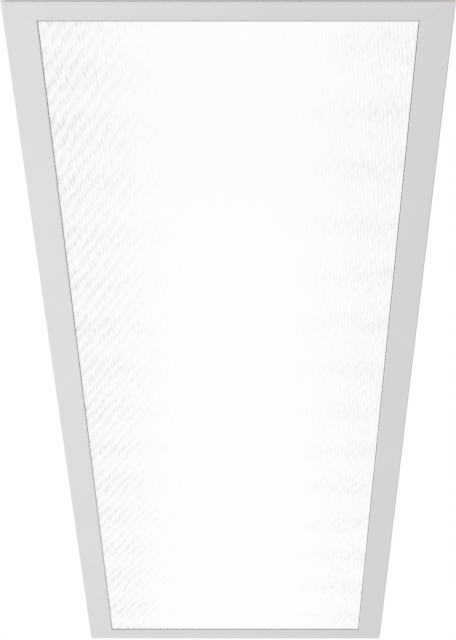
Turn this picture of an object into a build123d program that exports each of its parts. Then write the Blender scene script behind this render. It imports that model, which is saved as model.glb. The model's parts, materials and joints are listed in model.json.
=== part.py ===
"""Recessed 2 ft by 4 ft ceiling troffer, in millimetres.

+Z points up, into the ceiling. The origin is the centre of the door's lower face, X runs across the
light and Y along it. The door hangs on two hinges at -X and is held by two cam latches at +X. Its
edge laps under the ceiling grid, and the housing's flange lies on top of the grid.
"""

import os

from build123d import *

# Housing: one folded sheet, closed by two end plates
flange_width = 603.25
flange_length = 1212.85
flange_height = 9.5  # underside of the grid flange, above the door's face
housing_sheet = 0.7
housing_bend = 0.8
side_flange = 20.625  # from a side wall's inner face to the flange's edge
end_flange = 14.425  # from an end plate's inner face to the flange's edge
wall_top = 34.0  # where the side walls lean inwards
wall_lean = 41.0
back_height = 90.0  # inner face of the back
bead_spacing = 286.0
bead_width = 14.0
bead_height = 3.0
lap = 14.0  # fold-over flange of an end plate
end_screw_spacing = 90.0

# Door: four rolled rails with mitred corners
door_side_gap = 3.125  # between the edges of the door and of the grid flange
door_end_gap = 4.925
side_room = 14.5  # between a side rail's leg and the housing's wall
end_room = 1.5  # between an end rail's leg and the end plate
door_sheet = 0.8
door_bend = 0.4
lip_height = 5.5
lens_seat = 4.0
shelf_width = 12.0
leg_height = 24.0
mitre_gap = 0.1

# Corner brackets
bracket_leg = 34.0
bracket_low = 9.0
bracket_high = 22.0
bracket_sheet = 1.2

# Lens and the clips that hold it down
lens_thickness = 3.2
lens_clearance = 0.8
lens_clip_width = 15.0
lens_clip_foot = 7.0
lens_clip_drop = 8.0
lens_clip_sheet = 0.5
lens_clip_places = (-300.0, 0.0, 300.0)

# Hinges
hinge_places = (-380.0, 380.0)
hinge_inset = 4.5  # pin's axis inside the door's edge
hinge_sheet = 1.2
leaf_sheet = 1.1
pin_radius = 1.25
knuckle_radius = 2.35
strap_knuckle = 20.0
leaf_knuckle = 12.0
knuckle_gap = 1.0
strap_height = 21.0
leaf_depth = 18.0

# Cam latches
latch_places = (-380.0, 380.0)
latch_height = 14.0
latch_turn = 90.0
cam_sheet = 1.2
cam_hub = 6.0
cam_stand_off = 2.7
cam_finger = 10.0
cam_finger_height = 3.0
cam_tail = 8.0
keeper_height = 20.0
keeper_sheet = 1.2
keeper_leaf = 12.0
keeper_start = 4.5  # from the latch's pivot, along the light
keeper_width = 13.0
keeper_reach_gap = 1.7

# Grid clips and hanger ears
clip_spacing = 400.0
clip_height = 47.0
clip_length = 34.0
clip_width = 12.0
clip_sheet = 1.2
clip_tab = 5.0
hanger_spacing = 380.0
hanger_width = 24.0
hanger_hole = 3.2
ear_reach = 13.3

# Light source
outer_row_inset = 50.0  # from the fold of the housing's back
inner_row_gap = 21.0  # between an inner board and the wireway cover
board_end_gap = 32.0
board_width = 24.0
board_thickness = 1.6
led_count = 42
led_size = 3.0
led_height = 0.7
connector_length = 10.0
connector_width = 8.0
connector_height = 4.5
connector_inset = 1.0
board_screw_inset = 20.0
outer_lead_y = 6.0
inner_lead_y = -6.0

# Driver
driver_start = 72.0
driver_length = 280.0
driver_width = 40.0
driver_depth = 27.0
driver_tab = 12.0
driver_sheet = 1.2
driver_round = 3.0
lead_radius = 1.2
lead_bend = 6.0
lead_drop = 14.0  # from the housing's back down to the leads beside the driver
lead_pitch = 6.0
notch_drop = 4.0  # from the housing's back down to a lead in the cover's notch

# Wireway cover
cover_top = 104.0
cover_bottom = 76.0
cover_depth = 36.0
cover_flange = 10.0
cover_end_gap = 15.0  # the cover is shorter than the door's opening, so that it comes out through it
cover_sheet = 0.6
cover_bend = 1.2
cover_notch = 20.0
cover_notch_depth = 7.0
notch_reach = 2.0  # how far a notch reaches in from the cover's fold
cover_screw_inset = 57.0
cover_screw_spacing = 360.0  # between the two pairs nearest the middle

# Supply entry
access_gap = 32.0  # from the disconnect's middle to the access plate's
access_opening = (90.0, 60.0)
access_plate_size = (112.0, 80.0)
access_sheet = 0.8
knockout_radius = 11.1
disconnect_size = (26.0, 26.0, 12.0)
disconnect_gap = 46.0  # from the driver's end to the disconnect's middle
ground_screw_gap = 20.0  # from the driver's end
ground_screw_offset = 22.0
ground_bend = 3.0

# Fasteners
screw_radius = 1.6
screw_head = 3.2
screw_head_height = 1.6
screw_clearance = 0.25
screw_grip = 3.0
rivet_radius = 1.6
rivet_head = 3.0
rivet_head_height = 0.9
pivot_radius = 2.0
head_sides = 8
shank_sides = 6
lead_sides = 6
knuckle_sides = 16
cut_past = 1.0  # how far a cutter reaches past what it cuts
running = 0.06
plate_gap = 0.3

# Places worked out from the sizes above
flange_x = flange_width / 2
flange_y = flange_length / 2
wall = flange_x - side_flange
back = wall - wall_lean
body_end = flange_y - end_flange
door_x = flange_x - door_side_gap
door_y = flange_y - door_end_gap
leg_x = wall - side_room - door_sheet
leg_y = body_end - end_room - door_sheet
sight_x = leg_x + door_sheet - shelf_width
sight_y = leg_y + door_sheet - shelf_width
side_face = door_x - sight_x
end_face = door_y - sight_y
hinge_x = -(door_x - hinge_inset)
hinge_z = door_sheet + plate_gap + knuckle_radius
lens_top = lens_seat + lens_thickness
outside = back_height + housing_sheet
board_low = back_height - board_thickness
board_length = 2 * (body_end - board_end_gap)
cover_length = 2 * (body_end - cover_end_gap)
lead_height = back_height - lead_drop
lead_entry = back_height - notch_drop
driver_end = driver_start + driver_length
disconnect_y = driver_end + disconnect_gap
access_y = disconnect_y + access_gap
ground_screw_at = (-ground_screw_offset, driver_end + ground_screw_gap)
inner_row = cover_top / 2 + cover_flange + inner_row_gap + board_width / 2
outer_row = back - outer_row_inset
board_rows = (-outer_row, -inner_row, inner_row, outer_row)


def sheet_section(points, sheet, bend=None):
    """Section of a folded sheet: one skin follows the points and the other lies to their left. bend
    is the radius inside each fold, and without it the folds are sharp."""
    skin = [Vector(*point) for point in points]
    left = [(b - a).rotate(Axis.Z, 90).normalized() for a, b in zip(skin, skin[1:])]
    other = [skin[0] + left[0] * sheet]
    for corner, before, after in zip(skin[1:-1], left, left[1:]):
        other.append(corner + (before + after) * (sheet / (1 + before.dot(after))))
    other.append(skin[-1] + left[-1] * sheet)
    if bend is None:
        return outline(*skin, *reversed(other))
    turns_left = [before.cross(after).Z > 0 for before, after in zip(left, left[1:])]
    skin_radii = [bend + sheet if turn else bend for turn in turns_left]
    other_radii = [bend if turn else bend + sheet for turn in turns_left]
    radii = [0, *skin_radii, 0, 0, *reversed(other_radii), 0]
    return make_face(FilletPolyline(*skin, *reversed(other), radius=radii, close=True))


def along_x(section, start, end):
    """A section drawn in Y and Z, carried along X."""
    return extrude(Plane.YZ.offset(start) * section, end - start)


def along_y(section, start, end):
    """A section drawn in X and Z, carried along Y."""
    return extrude(Plane.XZ.offset(-end) * section, end - start)


def along_z(section, low, high):
    """An outline drawn in X and Y, carried up."""
    return extrude(Plane.XY.offset(low) * section, high - low)


def block(x, y, z):
    """A box between two values on each axis."""
    size = [high - low for low, high in (x, y, z)]
    return Pos(x[0], y[0], z[0]) * Box(*size, align=(Align.MIN, Align.MIN, Align.MIN))


def rod(radius, start, end):
    """A round bar between two points."""
    length = (Vector(*end) - Vector(*start)).length
    plane = Plane(origin=start, z_dir=Vector(*end) - Vector(*start))
    return extrude(plane * Circle(radius), length)


def stud(radius, start, end, sides=shank_sides, around=False):
    """A small bar with flat sides, whose corners lie on the radius, or its flats for a hole."""
    length = (Vector(*end) - Vector(*start)).length
    plane = Plane(origin=start, z_dir=Vector(*end) - Vector(*start))
    return extrude(plane * RegularPolygon(radius, sides, major_radius=not around), length)


def outline(*points):
    """A flat face inside a closed run of straight edges."""
    return make_face(Polyline(*points, close=True))


def lead(points, bend=lead_bend):
    """An insulated lead along straight runs and arcs."""
    path = FilletPolyline(*points, radius=bend)
    start = Plane(origin=path @ 0, z_dir=path % 0)
    return sweep(start * RegularPolygon(lead_radius, lead_sides), path=path)


def screw(head_at, axis, grip=screw_grip):
    """A pan-head screw: its head's seat is at head_at and its shank runs along axis."""
    seat, way = Vector(*head_at), Vector(*axis)
    head = stud(screw_head, seat - way * screw_head_height, seat, head_sides)
    return head + stud(screw_radius, seat, seat + way * grip)


def screw_hole(head_at, axis, grip=screw_grip):
    """The clearance hole for such a screw, cut through whatever it grips."""
    seat, way = Vector(*head_at), Vector(*axis)
    return stud(screw_radius + screw_clearance, seat - way * grip, seat + way * grip, around=True)


def rivet(middle, axis, grip):
    """A rivet with a flat head on both sides of its grip."""
    at, way = Vector(*middle), Vector(*axis)
    half = way * (grip / 2)
    cap = way * rivet_head_height
    low = stud(rivet_head, at - half - cap, at - half, head_sides)
    high = stud(rivet_head, at + half, at + half + cap, head_sides)
    return low + stud(rivet_radius, at - half, at + half) + high


def save(name, *solids):
    """One sub-part as parts/NAME.step."""
    shape = solids[0] if len(solids) == 1 else Compound(children=list(solids))
    export_step(shape, f"parts/{name}.step")


# Housing


def trough_points():
    """Inner skin of the housing from one flange's edge to the other's."""
    bead_foot = bead_width / 2
    bead_crown = bead_foot - bead_height
    right = [
        (bead_spacing / 2 - bead_foot, back_height),
        (bead_spacing / 2 - bead_crown, back_height + bead_height),
        (bead_spacing / 2 + bead_crown, back_height + bead_height),
        (bead_spacing / 2 + bead_foot, back_height),
        (back, back_height),
        (wall, wall_top),
        (wall, flange_height),
        (flange_x, flange_height),
    ]
    return [(-x, z) for x, z in reversed(right)] + right


def housing_trough():
    """The folded sheet, with the opening for the supply and the screw holes."""
    section = sheet_section(trough_points(), housing_sheet, housing_bend)
    sheet = along_y(section, -body_end, body_end)
    across, along = (size / 2 for size in access_opening)
    sheet -= block(
        (-across, across),
        (access_y - along, access_y + along),
        (back_height - cut_past, outside + cut_past),
    )
    for at, axis in back_screws() + end_plate_screws():
        sheet -= screw_hole(at, axis)
    return sheet


def back_screws():
    """Seats and directions of every screw that goes into the housing's back."""
    up, down = (0, 0, 1), (0, 0, -1)
    ends = (-board_length / 2 + board_screw_inset, board_length / 2 - board_screw_inset)
    boards = [((x, y, board_low), up) for x in board_rows for y in ends]
    cover = [((x, y, back_height - cover_sheet), up) for x, y in cover_screw_seats()]
    driver = [((0, y, back_height - driver_sheet), up) for y in driver_screw_places()]
    ground = [((*ground_screw_at, back_height), up)]
    access = [((0, access_screw_y(), outside + access_sheet), down)]
    return boards + cover + driver + ground + access


def cover_screw_seats():
    """The wireway cover's screws stand in the middle of its two flanges."""
    x = (cover_top + cover_flange) / 2
    far = cover_length / 2 - cover_screw_inset
    near = cover_screw_spacing / 2
    return [(side * x, y) for side in (-1, 1) for y in (-far, -near, near, far)]


def driver_screw_places():
    """One screw in each of the driver base's two end tabs."""
    return (
        driver_start - driver_tab / 2,
        driver_end + driver_tab / 2,
    )


def access_screw_y():
    """The access plate's screw stands between its free edge and the opening."""
    return access_y - (access_plate_size[1] + access_opening[1]) / 4


def end_plate_screws():
    """Three screws through each end plate's top flange."""
    top = outside + housing_sheet
    middle = body_end - lap / 2
    places = [(x, end * middle) for end in (-1, 1) for x in (-1, 0, 1)]
    return [((x * end_screw_spacing, y, top), (0, 0, -1)) for x, y in places]


def end_plate(end):
    """An end plate: web, grid flange, fold-over flanges, hanger ears and clip ears."""
    points = trough_points()
    inside = outline(*points[1:-1])
    rim = sheet_section(points[1:-1], housing_sheet)
    plate = along_y(inside + rim, body_end, body_end + housing_sheet)
    plate += block(
        (-flange_x, flange_x),
        (body_end, flange_y),
        (flange_height, flange_height + housing_sheet),
    )
    start = body_end - lap
    ends = body_end + housing_sheet
    bead_inside = bead_spacing / 2 - bead_width / 2 - housing_sheet
    bead_outside = bead_spacing / 2 + bead_width / 2 + housing_sheet
    top = (outside, outside + housing_sheet)
    plate += block((-bead_inside, bead_inside), (start, ends), top)
    for side in (-1, 1):
        flange = sorted((side * bead_outside, side * (back - housing_sheet)))
        plate += block(flange, (start, ends), top)
        plate += leaning_flange(side, start, ends)
        ear = side * hanger_spacing / 2
        hanger = block(
            (ear - hanger_width / 2, ear + hanger_width / 2),
            (body_end, body_end + ear_reach),
            top,
        )
        hole_y = hanger_hole_y()
        plate += hanger - rod(
            hanger_hole, (ear, hole_y, outside - cut_past), (ear, hole_y, top[1] + cut_past)
        )
        plate += clip_ear(side)
    for at, axis in end_plate_screws():
        plate -= screw_hole(at, axis)
    return plate if end > 0 else mirror(plate, Plane.XZ)


def hanger_hole_y():
    """The hanger wire's hole is in the middle of its ear."""
    return body_end + housing_sheet + (ear_reach - housing_sheet) / 2


def leaning_flange(side, start, ends):
    """The fold-over flange on one leaning side wall."""
    foot, head = Vector(wall, wall_top), Vector(back, back_height)
    run = head - foot
    out = Vector(run.Y, -run.X).normalized() * housing_sheet
    low, high = foot + run * 0.15 + out, foot + run * 0.85 + out
    ends_xz = [(low.X, low.Y), (high.X, high.Y)]
    section = sheet_section(ends_xz[::-1], housing_sheet)
    flange = along_y(section, start, ends)
    return flange if side > 0 else mirror(flange, Plane.YZ)


def clip_y():
    """Pivot of a grid clip, half way between the end plate and its flange's edge."""
    return (body_end + housing_sheet + flange_y) / 2


def clip_ear(side):
    """The small shelf that carries a grid clip's rivet."""
    x = side * clip_spacing / 2
    ear = block(
        (x - clip_width / 2, x + clip_width / 2),
        (body_end, clip_y() + clip_width / 2),
        (clip_height - housing_sheet, clip_height),
    )
    low, high = clip_height - housing_sheet - cut_past, clip_height + cut_past
    return ear - stud(rivet_radius, (x, clip_y(), low), (x, clip_y(), high))


def grid_clip(end, side):
    """A flat clip with a finger tab, parked along the end plate and pointing inwards."""
    x, y = side * clip_spacing / 2, clip_y()
    tip = x - side * clip_length
    middle = sorted((x, tip))
    low, high = clip_height, clip_height + clip_sheet
    width = (y - clip_width / 2, y + clip_width / 2)
    clip = block(middle, width, (low, high))
    clip += stud(clip_width / 2, (x, y, low), (x, y, high), knuckle_sides)
    tab = sorted((tip, tip + side * clip_sheet))
    clip += block(tab, width, (low, high + clip_tab))
    hole = (x, y, low - cut_past), (x, y, high + cut_past)
    clip -= stud(rivet_radius + running, *hole, around=True)
    return clip if end > 0 else mirror(clip, Plane.XZ)


def grid_clip_rivets():
    """One rivet through each clip and its ear, loose enough for the clip to turn."""
    grip = housing_sheet + clip_sheet + 2 * running
    middle = clip_height + (clip_sheet - housing_sheet) / 2 + running
    return [
        rivet((side * clip_spacing / 2, end * clip_y(), middle), (0, 0, 1), grip)
        for end in (-1, 1)
        for side in (-1, 1)
    ]


# Door


def rail_points(edge, face):
    """Outer skin of a rail's section: leg, lens shelf, sight edge, face and lip."""
    sight = edge - face
    leg = sight + shelf_width - door_sheet
    return [
        (leg, leg_height),
        (leg, lens_seat),
        (sight, lens_seat),
        (sight, 0),
        (edge, 0),
        (edge, lip_height),
    ]


def mitre_cutters(gap):
    """What lies past a corner's joint, seen from the side rail: face and lip meet corner to corner,
    shelf and leg meet at 45 degrees."""
    lean = end_face / side_face
    far = door_y + side_face
    past = sight_x - side_face, door_x + side_face
    split = lens_seat / 2
    leg_side = leg_x + 2 * door_sheet

    def beyond(slope, low_x, high_x):
        start = sight_y + (low_x - sight_x) * slope - gap
        end = sight_y + (high_x - sight_x) * slope - gap
        return outline((low_x, start), (high_x, end), (high_x, far), (low_x, far))

    top = leg_height + cut_past
    face = along_z(beyond(lean, *past), -cut_past, split)
    lip = along_z(beyond(lean, leg_side, past[1]), split, top)
    leg = along_z(beyond(1, past[0], leg_side), split, top)
    return face + lip + leg


def side_rail():
    """The rail at +X, with its corners cut at both ends."""
    section = sheet_section(rail_points(door_x, side_face), door_sheet, door_bend)
    rail = along_y(section, -door_y, door_y)
    cutter = mitre_cutters(mitre_gap / 2)
    rail -= cutter
    rail -= mirror(cutter, Plane.XZ)
    for x, y, z in corner_rivet_places():
        if x > leg_x - bracket_sheet:
            rail -= stud(rivet_radius, *through_leg(leg_x, y, z))
    return rail


def through_leg(x, y, z):
    """Two points just inside and outside a side rail's leg."""
    return (x - cut_past, y, z), (x + door_sheet + cut_past, y, z)


def side_rail_with_latches():
    """The latch side also has the holes for the latch pivots."""
    rail = side_rail()
    for y in latch_places:
        rail -= stud(pivot_radius, *through_leg(leg_x, y, latch_height))
    return rail


def end_rail():
    """The rail at +Y, with both corners cut to meet the side rails."""
    section = sheet_section(rail_points(door_y, end_face), door_sheet, door_bend)
    rail = along_x(section, -door_x, door_x)
    keep = mitre_cutters(-mitre_gap / 2)
    middle = block(
        (-sight_x, sight_x), (0, door_y + cut_past), (-cut_past, leg_height + cut_past)
    )
    rail = rail & (middle + keep + mirror(keep, Plane.YZ))
    beside_leg = block(
        (leg_x + 2 * door_sheet, door_x),
        (sight_y, leg_y + 2 * door_sheet),
        (lens_seat / 2, leg_height + cut_past),
    )
    rail = rail - beside_leg - mirror(beside_leg, Plane.YZ)
    for x, y, z in corner_rivet_places():
        if y > leg_y - bracket_sheet and abs(x) < leg_x - bracket_sheet:
            rail -= stud(rivet_radius, (x, leg_y - cut_past, z), (x, leg_y + 2 * door_sheet, z))
    return rail


def corner_rivet_places():
    """One rivet in each leg of each corner bracket, as points on the rails' legs."""
    z = (bracket_low + bracket_high) / 2
    reach = bracket_leg * 0.6
    places = []
    for side in (-1, 1):
        for end in (-1, 1):
            places.append((side * leg_x, end * (leg_y - reach), z))
            places.append((side * (leg_x - reach), end * leg_y, z))
    return places


def corner_bracket(side, end):
    """The angle inside a corner of the door, above the lens."""
    high = (bracket_low, bracket_high)
    piece = block((leg_x - bracket_leg, leg_x), (leg_y - bracket_sheet, leg_y), high)
    piece += block((leg_x - bracket_sheet, leg_x), (leg_y - bracket_leg, leg_y), high)
    for x, y, z in corner_rivet_places():
        if x > 0 and y > 0:
            piece -= stud(rivet_radius, *rivet_span((x, y, z)))
    piece = piece if side > 0 else mirror(piece, Plane.YZ)
    return piece if end > 0 else mirror(piece, Plane.XZ)


def rivet_axis(place):
    """Corner rivets on a side rail point along X, those on an end rail along Y."""
    return (1, 0, 0) if abs(abs(place[0]) - leg_x) < 1e-6 else (0, 1, 0)


def rivet_span(place):
    """Two points well inside and outside the leg at a corner rivet."""
    at, way = Vector(*place), Vector(*rivet_axis(place)) * (2 * bracket_sheet)
    return at - way, at + way


def corner_rivets():
    """Rivets through the legs and the corner brackets."""
    solids = []
    grip = bracket_sheet + door_sheet
    shift = (door_sheet - bracket_sheet) / 2
    for place in corner_rivet_places():
        axis = rivet_axis(place)
        out = [shift * (1 if value > 0 else -1) * way for value, way in zip(place, axis)]
        middle = [value + move for value, move in zip(place, out)]
        solids.append(rivet(middle, axis, grip))
    return solids


def lens():
    """The acrylic panel lying on the shelf."""
    x, y = leg_x - lens_clearance, leg_y - lens_clearance
    return block((-x, x), (-y, y), (lens_seat, lens_top))


def lens_clips():
    """Spring clips hooked over the side legs, each with a foot on the lens."""
    gap = 0.1
    inner, outer = leg_x - gap, leg_x + door_sheet + gap
    top = leg_height + gap
    points = [
        (inner - lens_clip_foot, lens_top),
        (inner, lens_top),
        (inner, top),
        (outer, top),
        (outer, leg_height - lens_clip_drop),
    ]
    section = sheet_section(points, lens_clip_sheet)
    half = lens_clip_width / 2
    clips = [along_y(section, y - half, y + half) for y in lens_clip_places]
    return clips + [mirror(clip, Plane.YZ) for clip in clips]


# Hinges


def hinge_strap(y):
    """The housing's half of a hinge: a strap down the wall, bent out under the flange to a knuckle."""
    arm_top = hinge_z + hinge_sheet / 2
    points = [(-wall, arm_top + strap_height), (-wall, arm_top), (hinge_x, arm_top)]
    half = strap_knuckle / 2
    section = sheet_section(points, hinge_sheet, housing_bend)
    strap = along_y(section, y - half, y + half)
    strap += knuckle(y - half, y + half)
    return strap - pin_bore(running, y - half, y + half)


def knuckle(start, end):
    """A hinge's round knuckle between two places along the light."""
    return stud(knuckle_radius, (hinge_x, start, hinge_z), (hinge_x, end, hinge_z), knuckle_sides)


def pin_bore(clearance, start, end):
    """The bore for a hinge's pin, cut past both ends of its knuckles."""
    low, high = (hinge_x, start - cut_past, hinge_z), (hinge_x, end + cut_past, hinge_z)
    return stud(pin_radius + clearance, low, high, knuckle_sides, around=True)


def hinge_leaf(y):
    """The door's half of a hinge: a plate on the rail's face with a knuckle at each end."""
    inner = strap_knuckle / 2 + knuckle_gap
    outer = inner + leaf_knuckle
    plate_x = hinge_x + knuckle_radius + leaf_knuckle / 4
    high = (door_sheet, door_sheet + leaf_sheet)
    leaf = block((plate_x, hinge_x + knuckle_radius + leaf_depth), (y - outer, y + outer), high)
    for side in (-1, 1):
        ends = sorted((y + side * inner, y + side * outer))
        leaf += block((hinge_x, plate_x), ends, high)
        leaf += knuckle(*ends)
    return leaf - pin_bore(0.0, y - outer, y + outer)


def hinge_pin(y):
    """The pin, held in the leaf's knuckles and free in the strap's."""
    half = strap_knuckle / 2 + knuckle_gap + leaf_knuckle
    ends = (hinge_x, y - half, hinge_z), (hinge_x, y + half, hinge_z)
    return stud(pin_radius, *ends, knuckle_sides)


# Latches


def latch_cam(y):
    """A hooked cam on the latch rail's leg, stored turned away from its keeper."""
    finger_low = keeper_height + keeper_sheet + plate_gap - latch_height
    finger_high = finger_low + cam_finger_height
    arm = keeper_start - plate_gap * 4
    hook = outline(
        (-arm, 0),
        (arm, 0),
        (arm, finger_low),
        (arm + cam_finger, finger_low),
        (arm + cam_finger, finger_high),
        (-arm, finger_high),
    )
    tail = outline((-arm / 2, 0), (-arm / 2, -cam_tail), (arm / 2, -cam_tail), (arm / 2, 0))
    hole = RegularPolygon(pivot_radius + running, shank_sides, major_radius=False)
    face = hook + tail + RegularPolygon(cam_hub, knuckle_sides) - hole
    start = leg_x + door_sheet + cam_stand_off
    cam = along_x(face, start, start + cam_sheet)
    return Pos(0, y, latch_height) * Rot(latch_turn, 0, 0) * cam


def latch_pivot(y):
    """The shoulder rivet: a head inside the leg, a spacer, and a head outside the cam."""
    inside = leg_x
    outer = leg_x + door_sheet
    cam_start = outer + cam_stand_off
    cam_end = cam_start + cam_sheet
    spans = [
        (rivet_head, inside - rivet_head_height, inside),
        (pivot_radius, inside, outer),
        (rivet_head, outer, cam_start - plate_gap),
        (pivot_radius, cam_start - plate_gap, cam_end + plate_gap),
        (rivet_head, cam_end + plate_gap, cam_end + plate_gap + rivet_head_height),
    ]
    parts = [
        stud(radius, (start, y, latch_height), (end, y, latch_height), sides)
        for radius, start, end in spans
        for sides in [head_sides if radius == rivet_head else shank_sides]
    ]
    return parts[0].fuse(*parts[1:])


def latch_keeper(y):
    """A bracket on the housing's wall whose tongue the cam hooks over."""
    reach = leg_x + door_sheet + keeper_reach_gap
    points = [
        (reach, keeper_height),
        (wall, keeper_height),
        (wall, keeper_height + keeper_leaf),
    ]
    section = sheet_section(points, keeper_sheet, housing_bend)
    return along_y(section, y + keeper_start, y + keeper_start + keeper_width)


# Light source


def led_board(x):
    """A long circuit board against the housing's back."""
    half = board_length / 2
    board = block(
        (x - board_width / 2, x + board_width / 2), (-half, half), (board_low, back_height)
    )
    for y in (-half + board_screw_inset, half - board_screw_inset):
        board -= screw_hole((x, y, board_low), (0, 0, 1))
    return board


def led_row(x):
    """The LEDs of one board, evenly spaced and clear of its middle."""
    pitch = board_length / led_count
    half = led_size / 2
    places = [(index - (led_count - 1) / 2) * pitch for index in range(led_count)]
    high = (board_low - led_height, board_low)
    return [block((x - half, x + half), (y - half, y + half), high) for y in places]


def lead_y(x):
    """The leads pass the cover's notch side by side, the outer boards' ones nearer the driver, so
    that no lead crosses another."""
    return inner_lead_y if abs(x) < max(board_rows) else outer_lead_y


def board_connectors():
    """One connector on each board, on its side towards the driver."""
    solids = []
    for x in board_rows:
        toward = -1 if x > 0 else 1
        edge = x + toward * (board_width / 2 - connector_inset)
        across = sorted((edge, edge - toward * connector_length))
        y = lead_y(x)
        along = (y - connector_width / 2, y + connector_width / 2)
        solids.append(block(across, along, (board_low - connector_height, board_low)))
    return solids


def board_screws():
    """Screws that hold the boards to the housing's back."""
    ends = (-board_length / 2 + board_screw_inset, board_length / 2 - board_screw_inset)
    return [screw((x, y, board_low), (0, 0, 1)) for x in board_rows for y in ends]


def driver_base():
    """The driver's mounting plate, with a tab and a screw hole at each end."""
    half = driver_width / 2
    base = block(
        (-half, half),
        (driver_start - driver_tab, driver_end + driver_tab),
        (back_height - driver_sheet, back_height),
    )
    for y in driver_screw_places():
        base -= screw_hole((0, y, back_height - driver_sheet), (0, 0, 1))
    return base


def driver_case():
    """The driver's closed case under its base."""
    half = driver_width / 2
    top = back_height - driver_sheet
    case = block(
        (-half, half),
        (driver_start, driver_end),
        (top - driver_depth, top),
    )
    rounded = case.edges().filter_by(Axis.Y).group_by(Axis.Z)[0]
    return fillet(rounded, driver_round)


def output_leads():
    """Four leads from the driver's near end, out through the cover's notches to the boards."""
    solids = []
    for index, x in enumerate(board_rows):
        side = 1 if x > 0 else -1
        start_x = (index - 1.5) * lead_pitch
        y = lead_y(x)
        rise = lead_entry - lead_height
        notch_x = side * (cover_top / 2 - notch_reach)
        end_x = x - side * (board_width / 2 - connector_inset)
        points = [
            (start_x, driver_start, lead_height),
            (start_x, y, lead_height),
            (notch_x - side * rise, y, lead_height),
            (notch_x, y, lead_entry),
            (end_x, y, lead_entry),
        ]
        solids.append(lead(points))
    return solids


def supply_leads():
    """Two leads from the driver's far end into the disconnect."""
    start = driver_end
    end = disconnect_y - disconnect_size[1] / 2
    sections = [
        Pos(side * lead_pitch / 2, lead_height) * RegularPolygon(lead_radius, lead_sides)
        for side in (-1, 1)
    ]
    return [along_y(section, start, end) for section in sections]


def supply_disconnect():
    """The plug-in connector that the building's supply meets."""
    across, along, high = (size / 2 for size in disconnect_size)
    shell = block(
        (-across, across),
        (disconnect_y - along, disconnect_y + along),
        (lead_height - high, lead_height + high),
    )
    ports = [
        stud(
            lead_radius * 1.5,
            (x, disconnect_y + along / 2, lead_height),
            (x, disconnect_y + along + cut_past, lead_height),
        )
        for x in (-lead_pitch, 0.0, lead_pitch)
    ]
    for port in ports:
        shell -= port
    return shell


def ground_lead():
    """The lead from the ground screw down and across into the disconnect."""
    x, y = ground_screw_at
    points = [
        (x, y, back_height - screw_head_height),
        (x, y, lead_height),
        (x, disconnect_y, lead_height),
        (-disconnect_size[0] / 2, disconnect_y, lead_height),
    ]
    return lead(points, ground_bend)


# Wireway cover and access plate


def driver_cover():
    """The channel over the driver and leads, with a notch at each side for the board leads."""
    top, bottom = cover_top / 2, cover_bottom / 2
    low = back_height - cover_depth
    right = [
        (bottom, low),
        (top, back_height),
        (top + cover_flange, back_height),
    ]
    points = [(-x, z) for x, z in reversed(right)] + right
    section = sheet_section(points[::-1], cover_sheet, cover_bend)
    half = cover_length / 2
    cover = along_y(section, -half, half)
    notch_y = (-cover_notch / 2, cover_notch / 2)
    notch_z = (back_height - cover_notch_depth, back_height + cut_past)
    for side in (-1, 1):
        across = sorted((side * (bottom + notch_reach), side * (top + cover_flange + cut_past)))
        cover -= block(across, notch_y, notch_z)
    for x, y in cover_screw_seats():
        cover -= screw_hole((x, y, back_height - cover_sheet), (0, 0, 1))
    return cover


def cover_screws():
    """Screws through the cover's flanges."""
    seat = back_height - cover_sheet
    return [screw((x, y, seat), (0, 0, 1)) for x, y in cover_screw_seats()]


def access_plate():
    """The plate over the supply opening, with the conduit knockout and a screw hole."""
    across, along = (size / 2 for size in access_plate_size)
    top = outside + access_sheet
    plate = block(
        (-across, across), (access_y - along, access_y + along), (outside, top)
    )
    plate -= rod(
        knockout_radius, (0, access_y, outside - cut_past), (0, access_y, top + cut_past)
    )
    return plate - screw_hole((0, access_screw_y(), top), (0, 0, -1))


def main():
    """Builds every sub-part and writes it to its own file."""
    os.makedirs("parts", exist_ok=True)
    ends = {"near": -1, "far": 1}
    sides = {"left": -1, "right": 1}
    save("housing_trough", housing_trough())
    save("end_plate_screws", *[screw(at, axis) for at, axis in end_plate_screws()])
    save("grid_clip_rivets", *grid_clip_rivets())
    save("side_rail_left", mirror(side_rail(), Plane.YZ))
    save("side_rail_right", side_rail_with_latches())
    save("corner_rivets", *corner_rivets())
    save("lens", lens())
    save("lens_clips", *lens_clips())
    for name, end in ends.items():
        save(f"end_plate_{name}", end_plate(end))
        save(f"end_rail_{name}", end_rail() if end > 0 else mirror(end_rail(), Plane.XZ))
        hinge_at = hinge_places[0] if end < 0 else hinge_places[1]
        latch_at = latch_places[0] if end < 0 else latch_places[1]
        save(f"hinge_strap_{name}", hinge_strap(hinge_at))
        save(f"hinge_leaf_{name}", hinge_leaf(hinge_at))
        save(f"hinge_pin_{name}", hinge_pin(hinge_at))
        save(f"latch_cam_{name}", latch_cam(latch_at))
        save(f"latch_pivot_{name}", latch_pivot(latch_at))
        save(f"latch_keeper_{name}", latch_keeper(latch_at))
        for side_name, side in sides.items():
            save(f"grid_clip_{name}_{side_name}", grid_clip(end, side))
            save(f"corner_bracket_{name}_{side_name}", corner_bracket(side, end))
    for number, x in enumerate(board_rows, 1):
        save(f"led_board_{number}", led_board(x))
        save(f"led_row_{number}", *led_row(x))
    save("board_connectors", *board_connectors())
    save("board_screws", *board_screws())
    save("driver_base", driver_base())
    save("driver_case", driver_case())
    seats = [(0, y, back_height - driver_sheet) for y in driver_screw_places()]
    save("driver_screws", *[screw(at, (0, 0, 1)) for at in seats])
    save("output_leads", *output_leads())
    save("supply_leads", *supply_leads())
    save("supply_disconnect", supply_disconnect())
    save("ground_lead", ground_lead())
    save("ground_screw", screw((*ground_screw_at, back_height), (0, 0, 1)))
    save("driver_cover", driver_cover())
    save("cover_screws", *cover_screws())
    save("access_plate", access_plate())
    top = outside + access_sheet
    save("access_screw", screw((0, access_screw_y(), top), (0, 0, -1)))


main()
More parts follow.
